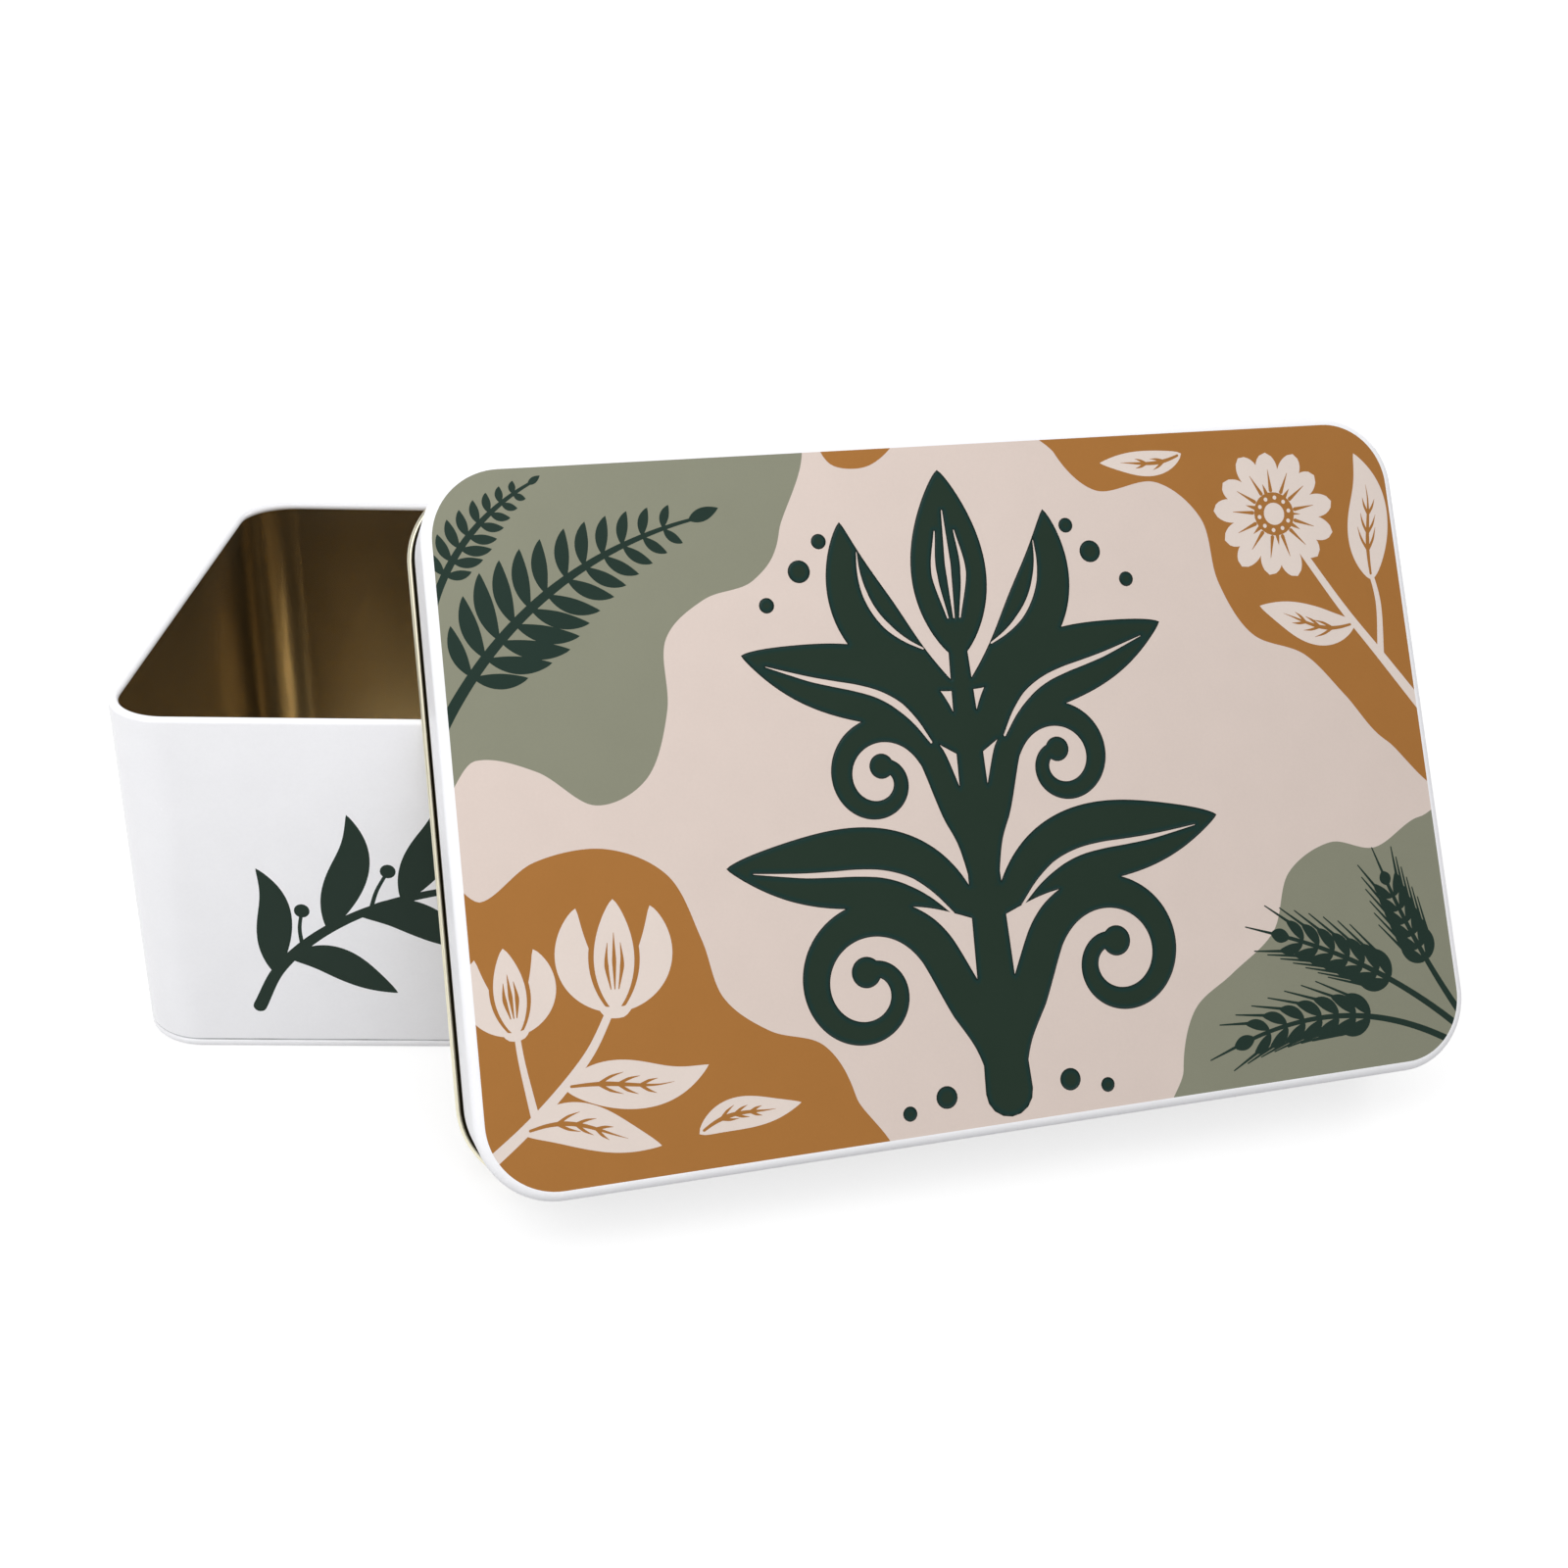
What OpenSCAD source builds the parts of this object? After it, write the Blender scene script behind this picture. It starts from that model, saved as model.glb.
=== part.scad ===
// Rectangular slip-lid tin for seed packets, shown with its lid taken off.
// The lid stands on one long side of its curl and leans back against the front rim of the box.
// The origin is the centre of the box's foot, the front of the box faces -Y and +Z is up.

/* [Lid] */
// Width of the lid over its skirt
lid_w = 200; // [170:1:240]
// Depth of the lid over its skirt
lid_d = 133.6; // [115:0.2:160]
// Height of the lid from its face to the end of its curl
lid_h = 24.8; // [18:0.2:30]
// Corner radius of the lid over its skirt
lid_corner_r = 15; // [11:0.5:22]
// Outside radius of the edge between the lid's face and its skirt
lid_edge_r = 2; // [1:0.1:3]
// Outside radius of the curl along the lid's skirt
lid_curl_r = 0.8; // [0.7:0.05:1.2]

/* [Box] */
// Height of the box from its foot to its rim
box_h = 77.2; // [60:0.2:95]
// Outside radius of the curl along the box's rim
rim_curl_r = 0.95; // [0.8:0.05:1.2]
// Width of the flat rim that the wall turns in under the bottom
foot_w = 2; // [1:0.1:4]
// Outside radius of the wall's turn above the foot
foot_r = 0.8; // [0.6:0.05:1.2]
// Height of the straight wall between the foot's turn and the groove above it
groove_up = 0.35; // [0.1:0.05:1]
// Angle that each turn of the groove makes
groove_turn = 55; // [30:5:70]
// Inside radius of the groove's turns
groove_r = 0.15; // [0.1:0.05:0.4]
// Height of the bottom panel's underside above the foot
floor_rise = 2.4; // [1.2:0.1:5]
// Inside radius of the bottom panel's turns
floor_turn_r = 0.3; // [0.1:0.05:0.6]
// Width of the folded seam down the back wall
lock_w = 5; // [3:0.5:8]
// Bare stretch of wall between the folded seam and the curl above or the groove below
lock_inset = 2; // [1:0.5:5]

/* [Sheet and fits] */
// Thickness of the tinplate
sheet = 0.3; // [0.2:0.05:0.4]
// Play between the lid's skirt and the wall of the box on each side
slip = 0.8; // [0.4:0.05:1.2]
// Gap between the folded layers of a seam
fold_gap = 0.05; // [0.03:0.01:0.1]
// How far round a curl the sheet is rolled, in degrees
curl_turn = 285; // [250:5:290]

/* [Leaning lid] */
// Angle of the lid's face from upright
lean = 30.2; // [25:0.2:40]
// Angle that the lid is turned from the front of the box
turn = 12.8; // [8:0.2:20]
// Place of the lid's centre to the right of the box's centre
lid_x = 70.8; // [60:0.2:85]
// Gap left where the lid rests against the box
rest_gap = 0.3; // [0.2:0.05:0.6]

/* [Hidden] */
$fn = 96;

enamel = "white";
lacquer = "darkgoldenrod";

// The box fits inside the lid's skirt with the slip all round
inset = sheet + slip;
box_w = lid_w - 2 * inset;
box_d = lid_d - 2 * inset;
box_corner_r = lid_corner_r - inset;

// Heights on the wall, counted from the foot
groove_rise = 4 * (groove_r + sheet / 2) * sin(groove_turn);
groove_z = foot_r + groove_up;
wall_z = groove_z + groove_rise;

// Folded seam: four layers of sheet, each fold with its centre between the layers that it joins
layer = sheet + fold_gap;
fold_r = 1.5 * sheet + fold_gap;
lock_dive = 3 * layer;
dive_start = -lock_w / 2 - fold_r - (fold_r + fold_gap) * sqrt(2);
mitre = sheet * tan(45 / 2);
lock_from = dive_start - sheet;
lock_lo = wall_z + lock_inset;
lock_hi = box_h - 2 * rim_curl_r - lock_inset;

// Bottom panel: its seat lies on the turned-in rim and its lip stands inside the wall under the groove
floor_drop = floor_rise - layer - 2 * floor_turn_r - sheet;
floor_edge = foot_r + foot_w + 2 * floor_turn_r + sheet;

// Place of the leaning lid. It stands on its curl and touches the box in front of its rim.
lid_z = lid_curl_r + (lid_d / 2 - sheet + lid_curl_r) * cos(lean) + (lid_h - lid_curl_r) * sin(lean);
// Directions across, up and out of the lid's face
up = [-sin(turn) * sin(lean), cos(turn) * sin(lean), cos(lean)];
out = [sin(turn) * cos(lean), -cos(turn) * cos(lean), sin(lean)];
// The curl of the lid's left side stands clear in front of the rim's curl
rim_y = -box_d / 2 + rim_curl_r;
rim_z = box_h - rim_curl_r;
curl_x = -(lid_w / 2 - sheet + lid_curl_r);
curl_out = -(lid_h - lid_curl_r);
curl_start_z = lid_z + curl_out * out.z;
rim_reach = (lid_curl_r + rim_curl_r + rest_gap) * norm([up.y, up.z]);
curl_start_y = rim_y - (rim_reach + (rim_z - curl_start_z) * up.y) / up.z;
lid_y_at_rim = curl_start_y - curl_x * sin(turn) - curl_out * out.y;
// The inside of the lid's face stands clear of the rim's right front corner
corner = [box_w / 2 - box_corner_r, -box_d / 2 + box_corner_r];
corner_out = [corner.x, corner.y, rim_z] * out + (box_corner_r - rim_curl_r) * cos(lean);
lid_out = corner_out + rim_curl_r + sheet + rest_gap;
lid_y_at_corner = (lid_out - lid_x * out.x - lid_z * out.z) / out.y;
lid_y = min(lid_y_at_rim, lid_y_at_corner);

// Part of a flat ring between two radii, from one angle through a sweep
module arc_band(r_in, r_out, from, sweep) {
    parts = ceil(abs(sweep) / 60);
    intersection() {
        difference() {
            circle(r = r_out);
            circle(r = r_in);
        }
        polygon(concat([[0, 0]],
            [for (i = [0 : parts]) 2 * r_out * [cos(from + sweep * i / parts), sin(from + sweep * i / parts)]]));
    }
}

// Section of bent sheet. It starts at the origin towards +X with the sheet on its left.
// A step of one number is a straight length; a step of two is an inside radius and a turn, left positive.
module bent_sheet(steps, at = 0) {
    if (at < len(steps)) {
        step = steps[at];
        if (len(step) == 1) {
            square([step[0], sheet]);
            translate([step[0], 0])
                bent_sheet(steps, at + 1);
        } else if (step[1] > 0) {
            translate([0, sheet + step[0]]) {
                arc_band(step[0], step[0] + sheet, -90, step[1]);
                rotate(step[1])
                    translate([0, -sheet - step[0]])
                        bent_sheet(steps, at + 1);
            }
        } else {
            translate([0, -step[0]]) {
                arc_band(step[0], step[0] + sheet, 90, step[1]);
                rotate(step[1])
                    translate([0, step[0]])
                        bent_sheet(steps, at + 1);
            }
        }
    }
}

// Carries a section round a rounded rectangle, with the section's X outwards from the outline and its Y up
module around(w, d, r) {
    for (side = [0 : 3]) {
        across = side % 2 == 0 ? d : w;
        reach = side % 2 == 0 ? w / 2 : d / 2;
        rotate([0, 0, 90 * side])
            translate([reach, 0, 0])
                rotate([90, 0, 0])
                    linear_extrude(across - 2 * r, center = true)
                        children();
    }
    for (x = [0, 1], y = [0, 1])
        mirror([x, 0, 0])
            mirror([0, y, 0])
                translate([w / 2 - r, d / 2 - r, 0])
                    rotate_extrude(angle = 90)
                        translate([r, 0])
                            children();
}

// Flat plate in the shape of a rounded rectangle
module plate(w, d, r, t) {
    union() {
        translate([-w / 2 + r, -d / 2, 0])
            cube([w - 2 * r, d, t]);
        translate([-w / 2, -d / 2 + r, 0])
            cube([w, d - 2 * r, t]);
        for (x = [-1, 1], y = [-1, 1])
            translate([x * (w / 2 - r), y * (d / 2 - r), 0])
                cylinder(r = r, h = t);
    }
}

// Section of the wall: foot rim, turn, groove, straight wall and the curl at the rim
module wall_section() {
    translate([-foot_r - foot_w, 0])
        bent_sheet([
            [foot_w],
            [foot_r - sheet, 90],
            [groove_up],
            [groove_r, groove_turn],
            [groove_r, -2 * groove_turn],
            [groove_r, groove_turn],
            [box_h - wall_z - rim_curl_r],
            [rim_curl_r - sheet, curl_turn]
        ]);
}

// Plan of the folded seam, with the outside face of the back wall along the X axis and the box below it
module lock_plan() {
    // outer half: it runs in from the right and folds back inside
    translate([-lock_w / 2, -fold_r])
        arc_band(fold_r - sheet, fold_r, 90, 180);
    translate([-lock_w / 2, -2 * layer - sheet])
        square([lock_w - fold_r, sheet]);
    // inner half: it dives in from the left, runs under the outer half and folds back between its layers
    polygon([
        [lock_from, 0],
        [dive_start, 0],
        [dive_start + lock_dive, -lock_dive],
        [dive_start + lock_dive - mitre, -lock_dive - sheet],
        [dive_start - mitre, -sheet],
        [lock_from, -sheet]
    ]);
    translate([dive_start + lock_dive - mitre, -lock_dive - sheet])
        square([lock_w / 2 - dive_start - lock_dive + mitre, sheet]);
    translate([lock_w / 2, -layer - fold_r])
        arc_band(fold_r - sheet, fold_r, -90, 180);
    translate([-lock_w / 2 + fold_r, -layer - sheet])
        square([lock_w - fold_r, sheet]);
}

// One strip of tinplate bent to the rounded rectangle, with its ends folded together at the back
module box_wall() {
    color(enamel)
        union() {
            difference() {
                around(box_w, box_d, box_corner_r)
                    wall_section();
                // opening in the wall where the inner half of the seam dives in
                translate([lock_from, box_d / 2 - 2 * sheet, lock_lo])
                    cube([-lock_w / 2 - lock_from, 4 * sheet, lock_hi - lock_lo]);
            }
            translate([0, box_d / 2, lock_lo])
                linear_extrude(lock_hi - lock_lo)
                    lock_plan();
        }
}

// Section of the bottom's edge: step down from the floor, seat on the foot rim and lip inside the wall
module bottom_section() {
    translate([-floor_edge, floor_rise])
        bent_sheet([
            [floor_turn_r, -90],
            [floor_drop],
            [floor_turn_r, 90],
            [foot_w],
            [foot_r - 2 * sheet - fold_gap, 90],
            [groove_up - fold_gap]
        ]);
}

// Stamped bottom panel, held between the foot rim and the groove in the wall
module box_bottom() {
    color(lacquer)
        union() {
            around(box_w, box_d, box_corner_r)
                bottom_section();
            translate([0, 0, floor_rise])
                plate(box_w - 2 * floor_edge, box_d - 2 * floor_edge, box_corner_r - floor_edge, sheet);
        }
}

// Section of the lid's edge, skirt and curl, with the face at height 0
module skirt_section() {
    translate([-lid_edge_r, -sheet])
        bent_sheet([
            [lid_edge_r - sheet, -90],
            [lid_h - lid_edge_r - lid_curl_r],
            [lid_curl_r - sheet, curl_turn]
        ]);
}

// Drawn lid, standing on its curl and leaning against the box
module lid() {
    color(enamel)
        translate([lid_x, lid_y, lid_z])
            rotate([90 - lean, 0, turn])
                union() {
                    around(lid_w, lid_d, lid_corner_r)
                        skirt_section();
                    translate([0, 0, -sheet])
                        plate(lid_w - 2 * lid_edge_r, lid_d - 2 * lid_edge_r, lid_corner_r - lid_edge_r, sheet);
                }
}

box_wall();
box_bottom();
lid();
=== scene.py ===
# A rectangular slip-lid tin for seed packets: the box with its curled rim, and the lid, which stands before
# it and leans back on the rim. Shapes are worked out in millimetres and turned into metres for each piece.

from math import ceil, cos, degrees, dist, log, radians, sin, sqrt

import bpy
import numpy as np
from mathutils import Matrix, Vector
from mathutils.geometry import delaunay_2d_cdt


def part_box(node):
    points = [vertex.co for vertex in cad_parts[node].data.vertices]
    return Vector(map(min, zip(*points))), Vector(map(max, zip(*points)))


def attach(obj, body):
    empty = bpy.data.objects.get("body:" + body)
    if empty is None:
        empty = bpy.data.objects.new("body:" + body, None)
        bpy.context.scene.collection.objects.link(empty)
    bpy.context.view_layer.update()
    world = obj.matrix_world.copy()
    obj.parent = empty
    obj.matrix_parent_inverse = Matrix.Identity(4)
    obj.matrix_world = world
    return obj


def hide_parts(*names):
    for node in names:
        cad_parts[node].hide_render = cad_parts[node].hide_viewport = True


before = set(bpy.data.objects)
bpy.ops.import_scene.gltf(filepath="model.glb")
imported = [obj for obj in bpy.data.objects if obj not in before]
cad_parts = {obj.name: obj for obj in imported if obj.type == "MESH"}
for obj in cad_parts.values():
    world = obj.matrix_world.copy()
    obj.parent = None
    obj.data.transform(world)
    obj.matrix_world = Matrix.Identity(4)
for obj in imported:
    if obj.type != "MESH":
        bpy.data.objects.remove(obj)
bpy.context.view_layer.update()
mm = 0.001
print("frame loaded:", ", ".join(sorted(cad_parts)))

shot = {
    "stand": (9.75, -349.46, 217.77),   # where the camera stands, in mm
    "yaw": 1.37,   # degrees to the right
    "pitch": 24.492,   # degrees down
    "roll": -1.202,   # degrees about the line of sight
    "lens": 37.507,
    "sensor": 36,
    "shift": (0.0601, -0.0715),
    "near": 10,   # mm; nothing nearer is drawn
}


def placeCamera(s):
    yaw, pitch, roll = (radians(s[k]) for k in ("yaw", "pitch", "roll"))
    ahead = Vector((sin(yaw) * cos(pitch), cos(yaw) * cos(pitch), -sin(pitch)))
    right = Vector((cos(yaw), -sin(yaw), 0))
    down = ahead.cross(right)
    sideways = cos(roll) * right + sin(roll) * down
    upwards = sin(roll) * right - cos(roll) * down
    facing = Matrix((sideways, upwards, -ahead)).transposed().to_4x4()
    camera = bpy.data.objects.new("camera", bpy.data.cameras.new("camera"))
    camera.data.lens = s["lens"]
    camera.data.sensor_width = s["sensor"]
    camera.data.shift_x, camera.data.shift_y = s["shift"]
    camera.data.clip_start = s["near"] * mm
    camera.matrix_world = Matrix.Translation(Vector(s["stand"]) * mm) @ facing
    bpy.context.scene.collection.objects.link(camera)
    bpy.context.scene.camera = camera


placeCamera(shot)
print("camera placed")


class Wire:
    # an output socket that can be written into sums; every operator adds one Math node
    def __init__(self, tree, socket):
        self.tree = tree
        self.socket = socket

    @classmethod
    def node(cls, tree, kind, settings=None, sockets=None, out=0):
        made = tree.nodes.new("ShaderNode" + kind)
        for name, value in (settings or {}).items():
            if name == "stops":
                while len(made.color_ramp.elements) < len(value):
                    made.color_ramp.elements.new(0.5)
                for element, (place, colour) in zip(made.color_ramp.elements, value):
                    element.position = place
                    element.color = (*colour, 1)
            else:
                setattr(made, name, value)
        for name, value in (sockets or {}).items():
            if isinstance(value, cls):
                value.into(made.inputs[name])
            else:
                made.inputs[name].default_value = value
        return cls(tree, made.outputs[out])

    def into(self, socket):   # links this output to an input
        self.tree.links.new(self.socket, socket)

    def maths(self, operation, first, second):
        return Wire.node(self.tree, "Math", {"operation": operation}, {0: first, 1: second})

    def larger(self, other):
        return self.maths("MAXIMUM", self, other)

    def __add__(self, other):
        return self.maths("ADD", self, other)

    def __sub__(self, other):
        return self.maths("SUBTRACT", self, other)

    def __rsub__(self, other):
        return self.maths("SUBTRACT", other, self)

    def __mul__(self, other):
        return self.maths("MULTIPLY", self, other)

    __radd__ = __add__
    __rmul__ = __mul__


def linear(colour):   # picture values 0-255 into the linear values that a shader takes, by the sRGB curve
    shares = [value / 255 for value in colour]
    return tuple(c / 12.92 if c <= 0.04045 else ((c + 0.055) / 1.055) ** 2.4 for c in shares)


def blankFinish(name):
    finish = bpy.data.materials.new(name)
    finish.use_nodes = True
    tree = finish.node_tree
    return finish, tree, tree.nodes["Principled BSDF"]


def spots(tree, place, size, detail=2.0, stretch=None):   # soft noise around 0.5; size in mm
    if stretch:
        place = Wire.node(tree, "VectorMath", {"operation": "MULTIPLY"}, {0: place, 1: stretch})
    sockets = {"Vector": place, "Scale": 1 / (size * mm), "Detail": detail, "Roughness": 0.5}
    return Wire.node(tree, "TexNoise", {}, sockets)


def uneven(noise, amount):   # a change up and down by half the amount at most
    return (noise - 0.5) * amount


def shade(tree, colour, amount):   # colour times a number that changes over the surface
    whole = Wire.node(tree, "CombineXYZ", {}, {0: amount, 1: amount, 2: amount})
    return Wire.node(tree, "VectorMath", {"operation": "MULTIPLY"}, {0: whole, 1: colour})


def dress(tree, shader, colour, rough, height, values):   # links what changes over the surface
    colour.into(shader.inputs["Base Color"])
    rough.into(shader.inputs["Roughness"])
    sockets = {"Strength": values["bump"], "Distance": values["relief"] * mm, "Height": height}
    Wire.node(tree, "Bump", {}, sockets).into(shader.inputs["Normal"])


def inkFinish(name, ink):   # baked enamel or printing ink on tinplate
    finish, tree, shader = blankFinish(name)
    place = Wire.node(tree, "TexCoord", out="Object")
    cloud = spots(tree, place, ink["cloud"], 3)
    grain = spots(tree, place, ink["grain"], 1)
    peel = spots(tree, place, ink["peel"], 2)
    tone = 1 + uneven(cloud, ink["mottle"]) + uneven(grain, ink["speckle"])
    rough = ink["rough"] + uneven(cloud, ink["cloudRough"]) + uneven(grain, ink["grainRough"])
    colour = linear(ink["colour"])
    if "edge" in ink:   # painted shade and sheen along the raised print's edge: darkest at the edge, cooler a little inside
        depth = Wire.node(tree, "Attribute", {"attribute_name": "edgeDepth"}, out="Fac")
        stops = [(at, linear(tint)) for at, tint in ink["edge"]] + [(1, colour)]
        colour = Wire.node(tree, "ValToRGB", {"stops": stops}, {"Fac": depth})
    dress(tree, shader, shade(tree, colour, tone), rough, peel, ink)
    shader.inputs["Specular IOR Level"].default_value = ink["shine"]
    return finish


def lacquerFinish(name, lacquer):   # tinted lacquer over the metal, with the fine lines of the rolled sheet
    finish, tree, shader = blankFinish(name)
    place = Wire.node(tree, "TexCoord", out="Object")
    cloud = spots(tree, place, lacquer["cloud"], 3)
    lines = spots(tree, place, lacquer["line"], 2, lacquer["stretch"])
    grain = spots(tree, place, lacquer["grain"], 1)
    tone = 1 + uneven(cloud, lacquer["mottle"]) + uneven(lines, lacquer["lines"])
    rough = lacquer["rough"] + uneven(cloud, lacquer["cloudRough"]) + uneven(lines, lacquer["lineRough"])
    height = lines * lacquer["lineShare"] + grain * (1 - lacquer["lineShare"])
    dress(tree, shader, shade(tree, linear(lacquer["colour"]), tone), rough, height, lacquer)
    shader.inputs["Metallic"].default_value = lacquer["metal"]
    return finish


inks = {
    "white": {"colour": (250, 250, 253), "rough": 0.24, "shine": 0.5},
    "lidWhite": {"colour": (250, 250, 253), "shine": 0.12},   # less glossy than the box
    "groove": {"colour": (200, 202, 205), "rough": 0.45, "shine": 0.3, "cloud": 16, "mottle": 2.4},   # painted shade on the groove's upper side, broken up by strong mottling
    "blush": {"colour": (222, 206, 197)},
    "cream": {"colour": (229, 215, 206)},
    "ochre": {"colour": (171, 115, 54)},
    "sage": {"colour": (139, 140, 121)},
    "green": {"colour": (36, 56, 48), "shine": 0.2},
    "branch": {"colour": (24, 44, 34), "shine": 0.2},
    # its edge stops paint shade and sheen along the raised print's edge
    "emblem": {"colour": (40, 57, 46), "rough": 0.33, "shine": 0.22,
               "edge": [(0, (18, 33, 27)), (0.2, (28, 48, 43)), (0.45, (29, 58, 54))]},
}
usualInk = {
    "rough": 0.42, "shine": 0.25,
    "cloud": 9, "mottle": 0.05, "cloudRough": 0.1,   # wide patches: size in mm, change of tone and roughness
    "grain": 0.5, "speckle": 0.035, "grainRough": 0.06,   # fine specks, likewise
    "peel": 0.9, "bump": 0.35, "relief": 0.02,   # skin of the ink: size in mm, strength, height in mm
}
lacquers = {
    "lacquer": {"colour": (206, 191, 160), "rough": 0.24, "mottle": 0.04, "lines": 0.03, "bump": 0.01},
    # a paler copy of the lacquer on the lid's curl: painted highlight
    "curl": {"colour": (240, 234, 210), "rough": 0.38, "mottle": 0.06, "lines": 0.05, "bump": 0.1},
    # painted shade for the crevice between the lid's curl and its skirt
    "pooled": {"colour": (74, 66, 46), "rough": 0.4, "metal": 0.6, "mottle": 0.2, "lines": 0.1, "bump": 0.2},
    "cut": {"colour": (150, 146, 138), "rough": 0.4, "mottle": 0.2, "lines": 0.2, "bump": 0.25},
}
usualLacquer = {
    "metal": 1.0, "grain": 0.35, "relief": 0.01,
    "cloud": 18, "cloudRough": 0.06,   # wide patches: size in mm, change of roughness
    "line": 1.2, "stretch": (0.03, 0.03, 2.0),   # level lines of the rolling: size in mm
    "lineRough": 0.02, "lineShare": 0.6,   # their change of roughness, their part in the bump
}
materialNames = {"white": "white_enamel", "lidWhite": "lid_enamel", "groove": "groove_enamel",
                 "lacquer": "gold_lacquer", "curl": "rolled_gold", "pooled": "pooled_lacquer",
                 "cut": "bare_edge"}
finishes = {}
for table, usual, makeFinish in ((inks, usualInk, inkFinish), (lacquers, usualLacquer, lacquerFinish)):
    for look, values in table.items():
        finishes[look] = makeFinish(materialNames.get(look, look + "_ink"), {**usual, **values})
print("finishes made:", ", ".join(finishes))


tin = {
    "sheet": 0.3,   # thickness of the tinplate
    "foldGap": 0.05,   # between two layers of a fold
    "curlTurn": 285,   # degrees that the curls of the rim and the lid are rolled
    "arcStep": 9,   # degrees between two rows round a bend
    "cornerStep": 4.5,   # degrees between two stations round a corner
    "weld": 20000,   # steps in a mm; places on the same step are one point
}


def bendSheet(start, heading, steps):
    # rows along the sheet's right side, each with place and heading; a step is [length] or [radius, turn]
    place, way = Vector(start), radians(heading)
    rows = [(place.copy(), way)]
    for step in steps:
        if len(step) == 1:
            place = place + step[0] * Vector((cos(way), sin(way)))
            rows.append((place.copy(), way))
            continue
        radius, turn = step   # the radius is that of the bend's inner side
        hand = 1 if turn > 0 else -1
        reach = radius + (tin["sheet"] if turn > 0 else 0)
        middle = place + hand * reach * Vector((-sin(way), cos(way)))
        count = ceil(abs(turn) / tin["arcStep"])
        for k in range(1, count + 1):
            now = way + radians(turn) * k / count
            place = middle - hand * reach * Vector((-sin(now), cos(now)))
            rows.append((place.copy(), now))
        way += radians(turn)
    return rows


def cornerStations(width, depth, radius, extra=()):
    # places round a rounded rectangle, each with the ways outward and up; extra adds some along the back
    count = round(90 / tin["cornerStep"])
    bends = []
    for corner, (x, y) in enumerate(((1, 1), (-1, 1), (-1, -1), (1, -1))):
        middle = (x * (width / 2 - radius), y * (depth / 2 - radius))
        bends += [(middle, radians(90 * corner + 90 * k / count)) for k in range(count + 1)]
        if corner == 0:
            bends += [((across, middle[1]), radians(90)) for across in extra]
    places = [Vector((m[0] + radius * cos(a), m[1] + radius * sin(a), 0)) for m, a in bends]
    outward = [Vector((cos(a), sin(a), 0)) for m, a in bends]
    return [(place, out, Vector((0, 0, 1))) for place, out in zip(places, outward)]


class Shell:
    # gathers the faces of a piece with their finish and with the exact normal at each corner
    def __init__(self):
        self.points = []
        self.known = {}     # number of the point at each step of the weld
        self.faces = []
        self.looks = []     # finish of each face
        self.normals = []   # one for each corner of each face
        self.depths = {}    # how far inside the raised print a point lies, from 0 at its edge to 1

    def point(self, p):
        key = tuple(round(c * tin["weld"]) for c in p)
        if key not in self.known:
            self.known[key] = len(self.points)
            self.points.append(tuple(p))
        return self.known[key]

    def face(self, corners, normals, look):
        facing = (corners[1] - corners[0]).cross(corners[-1] - corners[0])
        if facing.dot(sum(normals, Vector((0, 0, 0)))) < 0:
            corners, normals = corners[::-1], normals[::-1]
        ids = [self.point(c) for c in corners]
        if len(set(ids)) == len(ids):
            self.faces.append(ids)
            self.looks.append(look)
            self.normals += [n.normalized() for n in normals]

    def flatPrint(self, triangles, looks, place, normal):   # place gives the spot of a numbered point
        for corners, look in zip(triangles, looks):
            self.face([place(c) for c in corners], [normal] * 3, look)

    def sheetRound(self, rows, stations, right, left, closed=True, holes=(), cuts=("first", "last")):
        # carries a bent sheet along the stations; right and left give the look of its two sides, row by row
        def at(station, row, side):
            (x, y), way = rows[row]
            lift = tin["sheet"] if side == "left" else 0
            outward = 1 if side == "left" else -1
            origin, across, up = stations[station]
            place = origin + across * (x - lift * sin(way)) + up * (y + lift * cos(way))
            normal = (across * -sin(way) + up * cos(way)) * outward
            return place, normal, across * cos(way) + up * sin(way)

        def around(*spots):   # places, normals and headings
            return list(zip(*(at(*spot) for spot in spots)))

        count, last = len(stations), len(rows) - 1
        for s in range(count if closed else count - 1):
            t = (s + 1) % count
            for side, look in (("right", right), ("left", left)):
                for r in range(last):
                    if (s, r, side) not in holes:
                        ring = around((s, r, side), (t, r, side), (t, r + 1, side), (s, r + 1, side))
                        self.face(*ring[:2], look(r))
            for r, outward, end in ((0, -1, "first"), (last, 1, "last")):   # the sheet's cut edges
                if end in cuts:
                    ring = around((s, r, "right"), (t, r, "right"), (t, r, "left"), (s, r, "left"))
                    self.face(ring[0], [heading * outward for heading in ring[2]], "cut")
        if not closed:
            for s, t in ((0, 1), (count - 1, count - 2)):
                outward = (stations[s][0] - stations[t][0]).normalized()
                for r in range(last):
                    ring = around((s, r, "right"), (s, r + 1, "right"), (s, r + 1, "left"), (s, r, "left"))
                    self.face(ring[0], [outward] * 4, "cut")

    def finish(self, name, stand=Matrix.Identity(4)):   # stand moves the piece from where it is drawn
        used = [look for look in finishes if look in self.looks]
        mesh = bpy.data.meshes.new(name)
        mesh.from_pydata([(stand @ Vector(p)) * mm for p in self.points], [], self.faces)
        for look in used:
            mesh.materials.append(finishes[look])
        mesh.polygons.foreach_set("material_index", [used.index(look) for look in self.looks])
        mesh.polygons.foreach_set("use_smooth", [True] * len(self.faces))
        mesh.normals_split_custom_set([tuple(stand.to_3x3() @ n) for n in self.normals])
        if self.depths:
            depths = [self.depths.get(k, 1.0) for k in range(len(self.points))]
            mesh.attributes.new("edgeDepth", "FLOAT", "POINT").data.foreach_set("value", depths)
        mesh.update()
        piece = bpy.data.objects.new(name, mesh)
        bpy.context.scene.collection.objects.link(piece)
        print(name, "made:", len(self.points), "points,", len(self.faces), "faces")
        return piece


def always(look):   # the same look on every row
    return lambda row: look


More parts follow.
